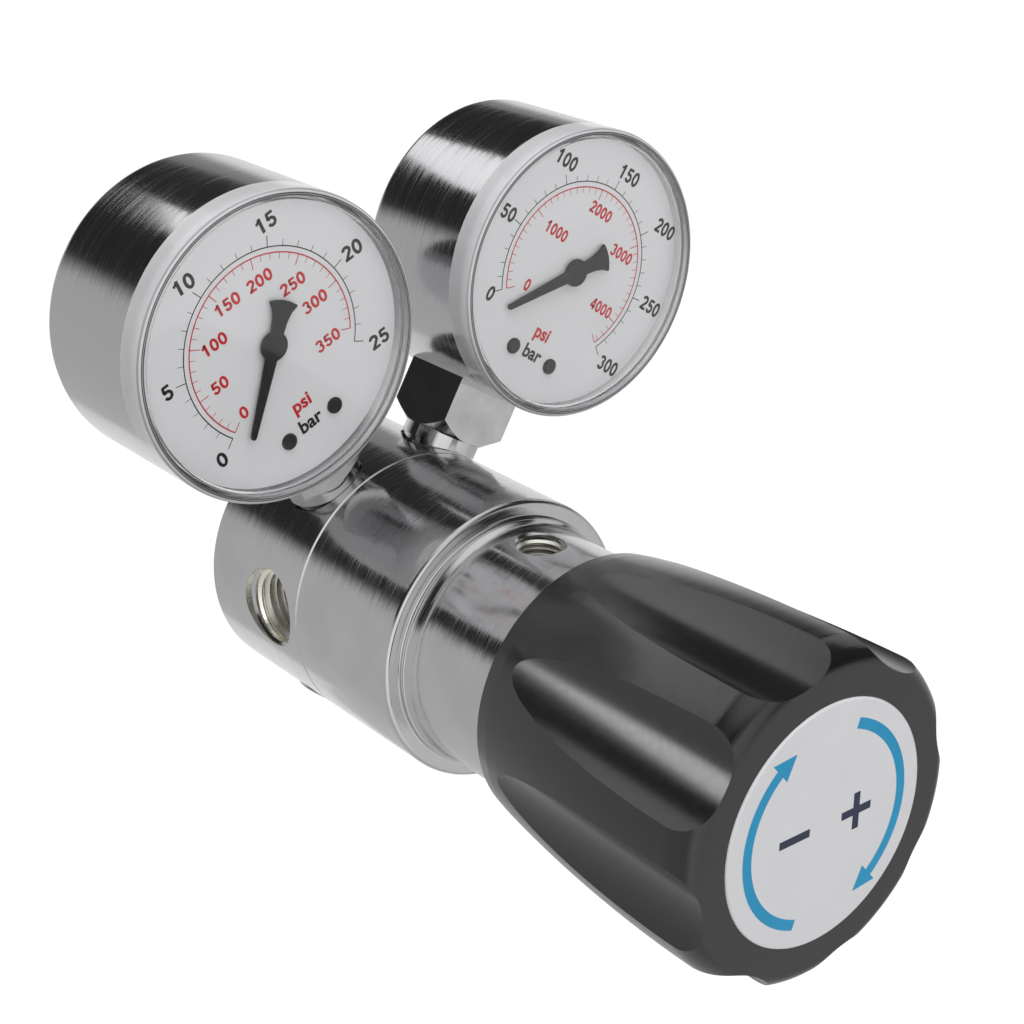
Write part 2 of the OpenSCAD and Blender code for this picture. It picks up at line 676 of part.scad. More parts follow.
module gauge_sector(side) {
    root_r = sector_r - 1.2*gear_m;
    toward = 180 - sector_clock;
    color("goldenrod") gauge(side) translate([each clock(sector_clock, pivot_r), 0]) {
        translate([0, 0, gear_z]) linear_extrude(gear_t) difference() {
            union() {
                circle(r = 1.8);
                teeth(root_r, 2*gear_m, 1.4*gear_m, 0.6*gear_m, [for (i = [-7:1]) toward + i*sector_pitch]);
                intersection() {
                    circle(r = root_r);
                    rotate([0, 0, toward]) polygon([[0, -1.5], clock(-8, root_r*1.1), clock(33, root_r*1.1)]);
                }
                rotate([0, 0, -tail_clock]) translate([-0.9, 0]) square([1.8, tail_len]);
                translate(clock(tail_clock, tail_len)) circle(r = 1.3);
            }
            rotate([0, 0, toward]) polygon([clock(4, 4.5), clock(0, root_r - 2), clock(26, root_r - 2), clock(18, 4.5)]);
            translate(clock(tail_clock, tail_len)) circle(r = 0.5 + run_gap);
        }
        bar(1, frame_z + 0.2, front_plate_z + movement_t - 0.2);
    }
}

tail_pin = clock(sector_clock, pivot_r) + clock(tail_clock, tail_len);
tip_pin = clock(tube_end - 3, tube_r - 2.8);

module gauge_link(side) {
    v = tip_pin - tail_pin;
    color("goldenrod") gauge(side) {
        translate([tail_pin.x, tail_pin.y, link_z]) rotate([0, 0, atan2(v.y, v.x)]) linear_extrude(0.6) difference() {
            union() {
                circle(r = 1);
                translate([0, -0.6]) square([norm(v), 1.2]);
                translate([norm(v), 0]) circle(r = 1);
            }
            translate([norm(v), 0]) circle(r = 0.5);
        }
        translate([tail_pin.x, tail_pin.y, gear_z - 0.2]) cylinder(r = 0.5, h = link_z - gear_z + 0.3);
    }
}

module plate_shape() {
    polygon([[-8.5, -19.5], [5.6, -19.5], [5.6, -14.2], [4.4, -9], [4, 4], [-4, 4], [-5, -9], [-8.5, -13]]);
}

module gauge_movement_frame(side) {
    color("darkgoldenrod") gauge(side) difference() {
        union() {
            translate([0, 0, frame_z]) linear_extrude(movement_t) plate_shape();
            translate([0, 0, front_plate_z]) linear_extrude(movement_t) plate_shape();
            for (p = [[-6.8, -18], [-2.6, 2.6]]) translate([p.x, p.y, frame_z + movement_t - eps])
                cylinder(r = 1, h = movement_gap + 2*eps);
            for (a = post_angles) translate([each clock(a, dial_screw_r), frame_z + movement_t - eps])
                cylinder(r = 1.25, h = lip_z + run_gap - frame_z - movement_t + eps);
        }
        bar(1 + 2*run_gap, frame_z - 1, front_plate_z + movement_t + 1);
        translate([each clock(sector_clock, pivot_r), frame_z - 1]) cylinder(d = 1 + 2*run_gap, h = 20);
        for (a = post_angles) translate([each clock(a, dial_screw_r), dial_z - 5]) cylinder(d = 1.5, h = 6);
    }
}

// Flattened section of the Bourdon tube, given its width and thickness
module tube_section(w, t) {
    h = (w - t)/2;
    polygon(concat(arc([tube_r, tube_z + h], t/2, 0, 180, 6), arc([tube_r, tube_z - h], t/2, 180, 360, 6)));
}

module circle_at(p) {
    translate(p) circle(r = 1.1);
}

module gauge_bourdon_tube(side) {
    start = 90 - tube_end;
    span = 360 - start - 90 - 4;
    lug = clock(tube_end - 3, tube_r);
    lug_z = tube_z + tube_w/2 - 1.4;
    color("peru") gauge(side) {
        difference() {
            rotate([0, 0, start]) rotate_extrude(angle = span) tube_section(tube_w, tube_t);
            rotate([0, 0, start + 3]) rotate_extrude(angle = span - 2.9) tube_section(tube_w - 2*tube_wall, tube_t - 2*tube_wall);
        }
        translate([0, 0, lug_z]) linear_extrude(link_z - free_gap - lug_z) difference() {
            union() {
                circle_at(lug);
                circle_at(tip_pin);
                rotate([0, 0, 93 - tube_end]) translate([tube_r - 2.8, -0.9]) square([2.8, 1.8]);
            }
            translate(tip_pin) circle(r = 0.5);
        }
    }
}

module gauge_stem(side) {
    w = stem_af;
    corner = w/2*sqrt(2);
    bottom = stem_end_y;
    color("silver") gauge(side) difference() {
        union() {
            translate([0, bottom, port_z]) rotate([-90, 0, 0]) intersection() {
                translate([-w/2, -w/2, 0]) cube([w, w, stem_top_y - bottom]);
                revolved([[0, 0], [w/2, 0], [corner + 0.1, stem_chamfer_h], [corner + 0.1, stem_top_y - bottom], [0, stem_top_y - bottom]]);
            }
            translate([0, bottom - neck_h - 0.1, port_z]) rotate([-90, 0, 0]) cylinder(d = neck_d, h = neck_h + 0.1 + eps);
            translate([0, bottom - neck_h - stem_thread_len, port_z]) rotate([-90, 0, 0])
                revolved([[0, 0], [thread_r - 0.8, 0], [thread_r, 0.8], [thread_r, stem_thread_len], [0, stem_thread_len]]);
        }
        translate([0, bottom - neck_h - stem_thread_len - 1, port_z]) rotate([-90, 0, 0])
            cylinder(d = stem_bore_d, h = neck_h + stem_thread_len + 1 - bottom - tube_r + stem_bore_d/2);
        rotate([0, 0, 180]) rotate_extrude(angle = 90) tube_section(tube_w + fit_gap, tube_t + fit_gap);
        for (x = [-1, 1]) translate([4*x, -17, case_z]) cylinder(d = 2, h = port_z - stem_af/2 - case_z + 3.5);
    }
}

module gauge_blowout_plug(side) {
    color([0.2, 0.2, 0.2]) gauge(side) translate([0, 13, 0]) revolved([[0, case_z - 0.8], [4.6, case_z - 0.8],
        [5.2, case_z], [3.95, case_z], [3.95, case_z + case_wall], [4.6, case_z + case_wall],
        [4.2, case_z + case_wall + 0.8], [0, case_z + case_wall + 0.8]]);
}

module gauge_case_screws(side) {
    color("silver") gauge(side) for (x = [-1, 1]) translate([4*x, -17, case_z]) difference() {
        revolved([[0, -1], [1.6, -1], [1.9, -0.6], [1.9, 0], [0.95, 0], [0.95, port_z - stem_af/2 - case_z + 3],
            [0, port_z - stem_af/2 - case_z + 3]]);
        translate([-2, -0.25, -1.5]) cube([4, 0.5, 1]);
    }
}

body();
bonnet();
inlet_filter();
valve_seat();
seat_retainer();
retainer_seal();
poppet();
poppet_spring();
diaphragm();
thrust_ring();
diaphragm_plate();
range_spring();
spring_button();
thrust_ball();
adjusting_screw();
knob();
knob_insert();
knob_screw();
label_cap();
port_plugs();
gauge_case(-1);  // outlet_gauge_case
gauge_lens(-1);  // outlet_gauge_lens
gauge_dial(-1);  // outlet_gauge_dial
gauge_dial_screws(-1);  // outlet_gauge_dial_screws
gauge_pointer(-1);  // outlet_gauge_pointer
gauge_pinion(-1);  // outlet_gauge_pinion
gauge_sector(-1);  // outlet_gauge_sector
gauge_link(-1);  // outlet_gauge_link
gauge_movement_frame(-1);  // outlet_gauge_movement_frame
gauge_bourdon_tube(-1);  // outlet_gauge_bourdon_tube
gauge_stem(-1);  // outlet_gauge_stem
gauge_blowout_plug(-1);  // outlet_gauge_blowout_plug
gauge_case_screws(-1);  // outlet_gauge_case_screws
gauge_case(1);  // inlet_gauge_case
gauge_lens(1);  // inlet_gauge_lens
gauge_dial(1);  // inlet_gauge_dial
gauge_dial_screws(1);  // inlet_gauge_dial_screws
gauge_pointer(1);  // inlet_gauge_pointer
gauge_pinion(1);  // inlet_gauge_pinion
gauge_sector(1);  // inlet_gauge_sector
gauge_link(1);  // inlet_gauge_link
gauge_movement_frame(1);  // inlet_gauge_movement_frame
gauge_bourdon_tube(1);  // inlet_gauge_bourdon_tube
gauge_stem(1);  // inlet_gauge_stem
gauge_blowout_plug(1);  // inlet_gauge_blowout_plug
gauge_case_screws(1);  // inlet_gauge_case_screws
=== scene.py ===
# %% [markdown]
# # Line pressure regulator
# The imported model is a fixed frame: each solid is already in place, in metres, and stays where it is.
# This lesson dresses it. It adds finishes, the print on the dials and the label, the screw threads, the
# light and the camera.

# %% Load the frame
import math

import bpy
from mathutils import Matrix, Vector


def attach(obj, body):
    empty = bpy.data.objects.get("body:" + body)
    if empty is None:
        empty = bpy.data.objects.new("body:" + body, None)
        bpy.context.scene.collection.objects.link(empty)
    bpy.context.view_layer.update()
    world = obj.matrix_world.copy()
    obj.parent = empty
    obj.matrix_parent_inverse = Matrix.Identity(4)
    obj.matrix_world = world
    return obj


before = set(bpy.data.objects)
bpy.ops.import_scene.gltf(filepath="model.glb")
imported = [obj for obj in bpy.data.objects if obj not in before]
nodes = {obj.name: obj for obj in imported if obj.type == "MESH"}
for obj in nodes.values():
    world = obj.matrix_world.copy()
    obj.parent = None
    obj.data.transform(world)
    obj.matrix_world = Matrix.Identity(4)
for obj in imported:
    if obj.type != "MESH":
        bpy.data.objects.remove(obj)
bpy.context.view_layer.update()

# %% [markdown]
# ## Shared measures
# The regulator's axis runs along Y and its front looks towards -Y. Each gauge stands on the body 30 degrees
# to one side. Print could be placed point by point where it lies on the part, but then no number would read
# as a size, so a dial is drawn flat, in millimetres, and then turned and moved onto its gauge.

# %% Measures
MM = 0.001  # turns millimetres, in which the part's lengths are typed, into metres
GAUGE_REACH = 60.3  # from the regulator's axis to the middle of a gauge
GAUGE_CLOCK = {"outlet": -30, "inlet": 30}  # degrees from the top, seen from the front
DIAL_FRONT = 32.1  # from the part's rear face to the face of a dial
DIAL_TURN = 4.9  # degrees that the print is turned on the gauge
STAND = Matrix.Rotation(math.radians(90), 4, "X")  # stands a flat drawing up to face the front


def gauge_place(side, turn=0):
    """Matrix from a flat drawing, x right and y up seen from the front, z towards the viewer, to a gauge."""
    clock = math.radians(GAUGE_CLOCK[side])
    centre = Vector((math.sin(clock) * GAUGE_REACH, -DIAL_FRONT, math.cos(clock) * GAUGE_REACH)) * MM
    lean = Matrix.Rotation(-math.radians(GAUGE_CLOCK[side] + turn), 4, "Z")
    return Matrix.Translation(centre) @ STAND @ lean @ Matrix.Scale(MM, 4)


def clock_point(angle, radius):
    """A point at a clock angle in degrees and a distance from the middle."""
    a = math.radians(angle)
    return radius * math.sin(a), radius * math.cos(a)


for side in GAUGE_CLOCK:
    print(side, "dial centre", [round(v, 4) for v in gauge_place(side).translation])

# %% [markdown]
# ## Colours and node helpers
# Colours are read off as sRGB hex values, and Blender's shaders want linear light, so one function turns one
# into the other. A second small function adds any node with its settings and links, which keeps each
# material short.

# %% Helpers for materials


def hex_rgb(code):
    """Linear red, green, blue and alpha of an sRGB hex colour."""
    parts = [int(code[i:i + 2], 16) / 255 for i in (1, 3, 5)]
    return tuple(c / 12.92 if c <= 0.04045 else ((c + 0.055) / 1.055) ** 2.4 for c in parts) + (1.0,)


def grey(brightness):
    """An even grey of a linear brightness."""
    return (brightness, brightness, brightness, 1.0)


def add(tree, kind, inputs=None, stops=(), **settings):
    """Adds a node.

    inputs are links or plain values, by the input's name or number. stops are the (place, colour) pairs of a
    colour ramp. settings are the node's properties, or its inputs by name with _ for a space."""
    node = tree.nodes.new("ShaderNode" + kind)
    for key, value in settings.items():
        if hasattr(node, key):
            setattr(node, key, value)
        else:
            node.inputs[key.replace("_", " ")].default_value = value
    for key, value in (inputs or {}).items():
        if isinstance(value, bpy.types.NodeSocket):
            tree.links.new(value, node.inputs[key])
        else:
            node.inputs[key].default_value = value
    if stops:
        while len(node.color_ramp.elements) < len(stops):
            node.color_ramp.elements.new(0.5)
        for element, (place, colour) in zip(node.color_ramp.elements, stops):
            element.position = place
            element.color = colour
    return node


def finish(name, **sockets):
    """A new material whose shader has these sockets set; returns the material, its tree and its shader."""
    material = bpy.data.materials.new(name)
    material.use_nodes = True
    shader = material.node_tree.nodes["Principled BSDF"]
    for key, value in sockets.items():
        shader.inputs[key.replace("_", " ")].default_value = value
    return material, material.node_tree, shader


print("white is", hex_rgb("#FFFFFF")[0], "mid grey is", round(hex_rgb("#808080")[0], 3))

# %% [markdown]
# ## Brushed stainless steel
# The body, the bonnet and the gauge cases are turned from type 316 stainless steel and brushed with an
# abrasive belt while they spin, so fine scratches run round each part. They could be a bump, but a bump this
# fine only turns to noise in a picture. Instead each scratch is rougher or smoother than the next and leans
# the surface a little to one side, so the lines show where the reflection changes and vanish where it is
# even. A real scratch is about 0.02 mm wide, too fine to show, so these are drawn 0.14 mm apart. The body
# also has faint clouds, where the belt pressed harder.

# %% Brushed steel
SCRATCH = 0.14 * MM  # spacing of the drawn scratches along the axis
SCRATCHES_AROUND = 2.2  # to the radian, so one is about 11 mm long on the body
CLOUD = 10.53 * MM  # size of the clouds


def about_axis(tree, axis_x, axis_z):
    """Sockets for the place of a point on a surface, and for where it lies from an axis along Y.

    They are the place, the offsets from the axis in x, y and z, and the distance from it."""
    place = add(tree, "TexCoord").outputs["Object"]
    from_axis = add(tree, "VectorMath", {0: place, 1: (axis_x, 0.0, axis_z)}, operation="SUBTRACT")
    dx, along, dz = add(tree, "SeparateXYZ", {0: from_axis.outputs[0]}).outputs
    flat = add(tree, "CombineXYZ", {0: dx, 2: dz})
    radius = add(tree, "VectorMath", {0: flat.outputs[0]}, operation="LENGTH").outputs["Value"]
    return place, dx, along, dz, radius


def brushed_steel(name, axis_x, axis_z, tone="#C8C8C9", rough=0.1, lean=0.08, clouds=0.0):
    """Steel brushed round an axis that runs along Y through (axis_x, axis_z), in metres.

    rough is that of the smoothest scratches, and lean is how far a scratch tilts the surface. clouds is the
    share of light that the dark clouds take away."""
    material, tree, shader = finish(name, Metallic=1.0, Base_Color=hex_rgb(tone))
    place, dx, along, dz, radius = about_axis(tree, axis_x, axis_z)
    angle = add(tree, "Math", {0: dz, 1: dx}, operation="ARCTAN2")
    around = add(tree, "CombineXYZ", {0: radius, 1: along, 2: angle.outputs[0]})
    cells = (1 / SCRATCH, 1 / SCRATCH, SCRATCHES_AROUND)
    fine_place = add(tree, "VectorMath", {0: around.outputs[0], 1: cells}, operation="MULTIPLY")
    noise = add(tree, "TexNoise", {"Vector": fine_place.outputs[0]}, Scale=1.0, Detail=2.0, Roughness=0.6)
    fine = noise.outputs[0]
    spread = add(tree, "MapRange", {0: fine}, From_Min=0.45, From_Max=0.75, To_Min=rough, To_Max=rough * 3.2)
    tree.links.new(spread.outputs[0], shader.inputs["Roughness"])
    tone_low = tuple(c * 0.96 for c in hex_rgb(tone)[:3]) + (1.0,)
    tint = add(tree, "ValToRGB", {0: fine}, stops=[(0.35, tone_low), (0.65, hex_rgb(tone))]).outputs[0]
    if clouds:
        cloud = add(tree, "TexNoise", {"Vector": place}, Scale=1 / CLOUD, Detail=2.0, Roughness=0.5)
        dark = add(tree, "MapRange", {0: cloud.outputs[0]}, From_Min=0.42, From_Max=0.62, To_Min=1.0,
                   To_Max=1.0 - clouds)
        tint = add(tree, "VectorMath", {0: tint, "Scale": dark.outputs[0]}, operation="SCALE").outputs[0]
    tree.links.new(tint, shader.inputs["Base Color"])
    # The lean is along the circle round the axis, so it points sideways across (dx, dz).
    minus_dx = add(tree, "Math", {0: dx, 1: -1.0}, operation="MULTIPLY")
    circle = add(tree, "CombineXYZ", {0: dz, 2: minus_dx.outputs[0]})
    circle_way = add(tree, "VectorMath", {0: circle.outputs[0]}, operation="NORMALIZE")
    side_lean = add(tree, "MapRange", {0: fine}, From_Min=0.0, From_Max=1.0, To_Min=-lean, To_Max=lean)
    push = add(tree, "VectorMath", {0: circle_way.outputs[0], "Scale": side_lean.outputs[0]},
               operation="SCALE")
    facing = add(tree, "NewGeometry").outputs["Normal"]
    leaning = add(tree, "VectorMath", {0: facing, 1: push.outputs[0]}, operation="ADD")
    even = add(tree, "VectorMath", {0: leaning.outputs[0]}, operation="NORMALIZE")
    tree.links.new(even.outputs[0], shader.inputs["Normal"])
    return material


regulator_steel = brushed_steel("brushed_stainless_body", 0.0, 0.0, clouds=0.06)
case_steel = {}
for side in GAUGE_CLOCK:
    centre = gauge_place(side).translation
    case_steel[side] = brushed_steel(side + "_case_brushed_stainless", centre.x, centre.z, tone="#BFBFC1")
print("brushed finishes", regulator_steel.name, [m.name for m in case_steel.values()])

# %% [markdown]
# ## Bright turned steel and the other metals
# The gauge stems, necks and port plugs come off the lathe bright and are only polished, so they mirror the
# room. The cut threads are duller and warmer. Springs are drawn wire with a grey sheen, plated plates and
# screws are bluish, the movement is brass sheet with a rolled grain, and the curved pressure tube is bronze.
# The filter is sintered bronze, which looks like sand. Each could have a recipe of its own, but they differ
# only in colour and in how rough they are, so they share one: a metal with a slow drift of colour and a fine
# grain in its relief.

# %% Other metals
METAL_DRIFT = 6 * MM


def plain_metal(name, tone, tone_low, rough, grain_mm=0.6, relief=0.1):
    """A metal with a slow drift between two colours and a fine relief of grain_mm."""
    material, tree, shader = finish(name, Metallic=1.0, Base_Color=hex_rgb(tone))
    place = add(tree, "TexCoord").outputs["Object"]
    drift = add(tree, "TexNoise", {"Vector": place}, Scale=1 / METAL_DRIFT, Detail=2.0)
    tones = [(0.35, hex_rgb(tone_low)), (0.65, hex_rgb(tone))]
    tint = add(tree, "ValToRGB", {0: drift.outputs[0]}, stops=tones)
    tree.links.new(tint.outputs[0], shader.inputs["Base Color"])
    grain = add(tree, "TexNoise", {"Vector": place}, Scale=1 / (grain_mm * MM), Detail=4.0, Roughness=0.6)
    spread = add(tree, "MapRange", {0: grain.outputs[0]}, From_Min=0.3, From_Max=0.7, To_Min=rough * 0.8,
                 To_Max=rough * 1.3)
    tree.links.new(spread.outputs[0], shader.inputs["Roughness"])
    bump = add(tree, "Bump", {"Height": grain.outputs[0]}, Strength=relief, Distance=0.02 * MM)
    tree.links.new(bump.outputs[0], shader.inputs["Normal"])
    return material


bright_steel = plain_metal("bright_turned_stainless", "#C9C9CA", "#B9B9BA", 0.09)
thread_steel = plain_metal("cut_thread_stainless", "#F8F6EE", "#ECEAE0", 0.33)
spring_steel = plain_metal("drawn_spring_wire", "#8C8E92", "#6E7074", 0.3)
zinc_steel = plain_metal("zinc_plated_steel", "#AEB2B8", "#9A9EA6", 0.28)
brass = plain_metal("rolled_brass", "#D9B56A", "#C49E55", 0.24)
bronze = plain_metal("phosphor_bronze", "#C98F5E", "#B07A4C", 0.26)
sintered_bronze = plain_metal("sintered_bronze", "#A9784A", "#7E5636", 0.5, grain_mm=0.25, relief=0.8)
metals = (bright_steel, thread_steel, spring_steel, zinc_steel, brass, bronze, sintered_bronze)
print("metals", [m.name for m in metals])

# %% [markdown]
# ## Moulded plastics, rubber, enamel and ink
# The knob is glass-filled nylon: satin, nearly black, with the faint orange peel of its mould. The label cap
# is a pale polyester foil. The dials are enamelled aluminium with a satin face, and the pointers are black
# enamel. The seals are matt black rubber, and the valve seat is a waxy tan plastic. The scales are pad
# printed in flat, slightly glossy ink. All of them scatter light below a thin skin, so they share one recipe:
# a colour that drifts a little over about 9 mm, and a skin whose relief and gloss vary over 0.3 to 1.5 mm.

# %% Plastics, enamels and inks
PLASTIC_DRIFT = 9.09 * MM


def moulded(name, tone, tone_low, rough, grain_mm, relief, ior=1.5):
    """A plastic, rubber, enamel or ink with a skin of grain_mm and a slight drift of colour."""
    material, tree, shader = finish(name, Base_Color=hex_rgb(tone), IOR=ior)
    place = add(tree, "TexCoord").outputs["Object"]
    drift = add(tree, "TexNoise", {"Vector": place}, Scale=1 / PLASTIC_DRIFT, Detail=2.0)
    tones = [(0.3, hex_rgb(tone_low)), (0.7, hex_rgb(tone))]
    tint = add(tree, "ValToRGB", {0: drift.outputs[0]}, stops=tones)
    tree.links.new(tint.outputs[0], shader.inputs["Base Color"])
    skin = add(tree, "TexNoise", {"Vector": place}, Scale=1 / (grain_mm * MM), Detail=2.0, Roughness=0.5)
    spread = add(tree, "MapRange", {0: skin.outputs[0]}, From_Min=0.3, From_Max=0.7, To_Min=rough * 0.9,
                 To_Max=rough * 1.12)
    tree.links.new(spread.outputs[0], shader.inputs["Roughness"])
    bump = add(tree, "Bump", {"Height": skin.outputs[0]}, Strength=relief, Distance=0.03 * MM)
    tree.links.new(bump.outputs[0], shader.inputs["Normal"])
    return material


knob_nylon = moulded("glass_filled_nylon", "#18181A", "#151516", 0.2, 0.9, 0.005, ior=1.58)
label_foil = moulded("label_polyester_foil", "#E8E8EB", "#E5E5E8", 0.45, 1.2, 0.02)
dial_enamel = moulded("dial_enamel", "#E6E6E8", "#E2E2E4", 0.45, 1.5, 0.02)
black_enamel = moulded("pointer_black_enamel", "#141415", "#111112", 0.42, 0.5, 0.05)
nitrile = moulded("nitrile_rubber", "#1A1A1A", "#141414", 0.6, 0.3, 0.2)
seat_polymer = moulded("peek_seat", "#C9B98C", "#BCAB7C", 0.4, 0.4, 0.08, ior=1.6)
black_ink = moulded("black_scale_ink", "#0C0C0D", "#141415", 0.4, 0.3, 0.02)
red_ink = moulded("red_scale_ink", "#C4141C", "#CC2229", 0.4, 0.3, 0.02)
blue_ink = moulded("blue_label_ink", "#0A97C8", "#149CCC", 0.5, 0.3, 0.02)
navy_ink = moulded("navy_label_ink", "#0A1C3E", "#0E2246", 0.4, 0.3, 0.02)
print("satin", [m.name for m in (knob_nylon, label_foil, dial_enamel, black_enamel, nitrile, seat_polymer)])
print("inks", [m.name for m in (black_ink, red_ink, blue_ink, navy_ink)])

# %% [markdown]
# ## Clear lens
# The lens is a snap-on cup of clear polycarbonate with a wall of 1.4 mm. Its window is clear and its wall is
# moulded with a fine frost. Two thin steps part the window from the wall, and a third runs round the outer
# edge. The steps bend the light and look dark, and that shade is painted into the colour as dark and grey
# rings, with a band of painted highlight between them and the frost's light grey on the wall, so the colour
# and the finish change with the distance from the gauge's axis. Polycarbonate has an index of 1.58, but here
# it is set low, because the photograph's dials show hardly any reflection. Light for the dial has to get
# through the lens, and a glass shader blocks direct light, so shadow rays meet a transparent shader instead.

# %% Clear polycarbonate
RIM_IN, RIM_OUT = 23.7 * MM, 24.9 * MM  # the steps and the wall lie between these distances from the axis
HAZE = 16.67 * MM  # size of the faint cloudy patches in the clear window
# The frosted wall scatters light inside, lets part of it through and still has a glossy skin.
FROST_ROUGH, FROST_CLEAR, FROST_GLOSS = 0.35, 0.3, 0.9
# Painted shade: dark and half-dark rings where the steps bend the light. The light tint is the frost's colour
# on the wall and a painted highlight on the rim.
STEP_PAINTED_SHADE, STEP_PAINTED_HALF_SHADE, FROST_AND_PAINTED_HIGHLIGHT = hex_rgb("#464648"), hex_rgb("#ACACAE"), hex_rgb("#E4E4E6")
# Each place is a share of the way from RIM_IN to RIM_OUT. The dark and grey rings are painted shade of the
# steps, the inner light band is a painted highlight, and the outer light band is the frost's colour.
RIM_PAINTED_LIGHT_TINTS = [
    (0.0, grey(0.98)), (0.04, STEP_PAINTED_SHADE), (0.16, STEP_PAINTED_SHADE), (0.21, STEP_PAINTED_HALF_SHADE), (0.25, STEP_PAINTED_HALF_SHADE),
    (0.3, STEP_PAINTED_SHADE), (0.4, STEP_PAINTED_SHADE), (0.47, FROST_AND_PAINTED_HIGHLIGHT), (0.66, FROST_AND_PAINTED_HIGHLIGHT),
    (0.7, STEP_PAINTED_HALF_SHADE), (0.82, STEP_PAINTED_HALF_SHADE), (0.87, FROST_AND_PAINTED_HIGHLIGHT),
]


def clear_plastic(name, axis_x, axis_z):
    """Clear plastic round an axis along Y through (axis_x, axis_z), in metres, frosted outside the window."""
    material, tree, shader = finish(name, IOR=1.3, Coat_Roughness=0.03)
    place, *_, radius = about_axis(tree, axis_x, axis_z)
    share = add(tree, "MapRange", {0: radius}, From_Min=RIM_IN, From_Max=RIM_OUT, To_Min=0.0, To_Max=1.0)
    rim = share.outputs[0]
    edge = add(tree, "ValToRGB", {0: rim}, stops=[(0.0, grey(0.0)), (0.03, grey(1.0)), (1.0, grey(1.0))])
    frost = edge.outputs[0]
    haze = add(tree, "TexNoise", {"Vector": place}, Scale=1 / HAZE, Detail=2.0)
    clear_rough = add(tree, "MapRange", {0: haze.outputs[0]}, From_Min=0.3, From_Max=0.7, To_Min=0.02,
                      To_Max=0.05)
    rough = add(tree, "Mix", {"Factor": frost, 2: clear_rough.outputs[0], 3: FROST_ROUGH})
    tree.links.new(rough.outputs[0], shader.inputs["Roughness"])
    through = add(tree, "MapRange", {0: frost}, From_Min=0.0, From_Max=1.0, To_Min=1.0, To_Max=FROST_CLEAR)
    tree.links.new(through.outputs[0], shader.inputs["Transmission Weight"])
    gloss = add(tree, "MapRange", {0: frost}, From_Min=0.0, From_Max=1.0, To_Min=0.0, To_Max=FROST_GLOSS)
    tree.links.new(gloss.outputs[0], shader.inputs["Coat Weight"])
    # The rim's colour carries the rings of painted shade and painted highlight.
    tint = add(tree, "ValToRGB", {0: rim}, stops=RIM_PAINTED_LIGHT_TINTS)
    tree.links.new(tint.outputs[0], shader.inputs["Base Color"])
    see_through = add(tree, "BsdfTransparent", Color=(0.95, 0.96, 0.96, 1.0))
    is_shadow = add(tree, "LightPath").outputs["Is Shadow Ray"]
    mix = add(tree, "MixShader", {0: is_shadow, 1: shader.outputs[0], 2: see_through.outputs[0]})
    tree.links.new(mix.outputs[0], tree.nodes["Material Output"].inputs["Surface"])
    return material


polycarbonate = {}
for side in GAUGE_CLOCK:
    centre = gauge_place(side).translation
    polycarbonate[side] = clear_plastic(side + "_lens_polycarbonate", centre.x, centre.z)
print("lens materials", [m.name for m in polycarbonate.values()])

# %% [markdown]
# ## Giving the solids their finishes
# A solid keeps its shape and gets a finish by name. It could also be copied and replaced by a finer mesh,
# but the frame already shades curved faces smooth up to an edge angle, so only the material slots change.

# %% Assign finishes
FINISHES = {
    "body": regulator_steel, "bonnet": regulator_steel, "port_plugs": bright_steel,
    "inlet_filter": sintered_bronze, "valve_seat": seat_polymer, "seat_retainer": bright_steel,
    "retainer_seal": nitrile, "poppet": bright_steel, "poppet_spring": spring_steel,
    "diaphragm": bright_steel, "thrust_ring": bright_steel, "diaphragm_plate": zinc_steel,
    "range_spring": spring_steel, "spring_button": zinc_steel, "thrust_ball": bright_steel,
    "adjusting_screw": bright_steel, "knob": knob_nylon, "knob_insert": brass, "knob_screw": zinc_steel,
    "label_cap": label_foil,
}
GAUGE_FINISHES = {
    "dial": dial_enamel, "dial_screws": black_enamel, "pointer": black_enamel,
    "pinion": brass, "sector": brass, "link": brass, "movement_frame": brass, "bourdon_tube": bronze,
    "stem": bright_steel, "blowout_plug": nitrile, "case_screws": zinc_steel,
}
for side in GAUGE_CLOCK:
    FINISHES[side + "_gauge_case"] = case_steel[side]
    FINISHES[side + "_gauge_lens"] = polycarbonate[side]
    for part, material in GAUGE_FINISHES.items():
        FINISHES[side + "_gauge_" + part] = material
for name, material in FINISHES.items():
    mesh = nodes[name].data
    mesh.materials.clear()
    mesh.materials.append(material)
print("finished solids", len(FINISHES), "left over", sorted(set(nodes) - set(FINISHES)))

# %% [markdown]
# ## Building pieces from points
# Print, marks and threads are meshes made from lists of points, which is the plainest way to give each its
# real width. A helper turns points and faces into an object, and gives it its finish and the body it rides
# on.

# %% Mesh helper


def piece(name, points, faces, material, body):
    """A mesh object from points in metres and faces, riding on a body."""
    mesh = bpy.data.meshes.new(name)
    mesh.from_pydata([tuple(p) for p in points], [], faces)
    mesh.validate()
    mesh.materials.append(material)
    made = bpy.data.objects.new(name, mesh)
    bpy.context.scene.collection.objects.link(made)
    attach(made, body)
    return made


# %% [markdown]
# ## Printed lines
# The lines of a dial are a thin layer of ink. They could be a picture laid on the dial, but a mesh stays
# sharp at any distance, so each line is a flat strip with its real width. All lines of one colour are one
# mesh, because on the dial they are one printed layer.

# %% Strips


def strip(points, faces, corners):
    """Adds one four-sided strip to the lists."""
    k = len(points)
    points.extend(corners)
    faces.append((k, k + 1, k + 2, k + 3))


def arc_strip(points, faces, radius, width, start, end, steps=150):
    """Adds an arc of a given width, from one clock angle to another."""
    inner, outer = radius - width / 2, radius + width / 2
    for i in range(steps):
        a, b = (start + (end - start) * (i + j) / steps for j in (0, 1))
        ring = ((a, inner), (b, inner), (b, outer), (a, outer))
        strip(points, faces, [clock_point(angle, r) for angle, r in ring])


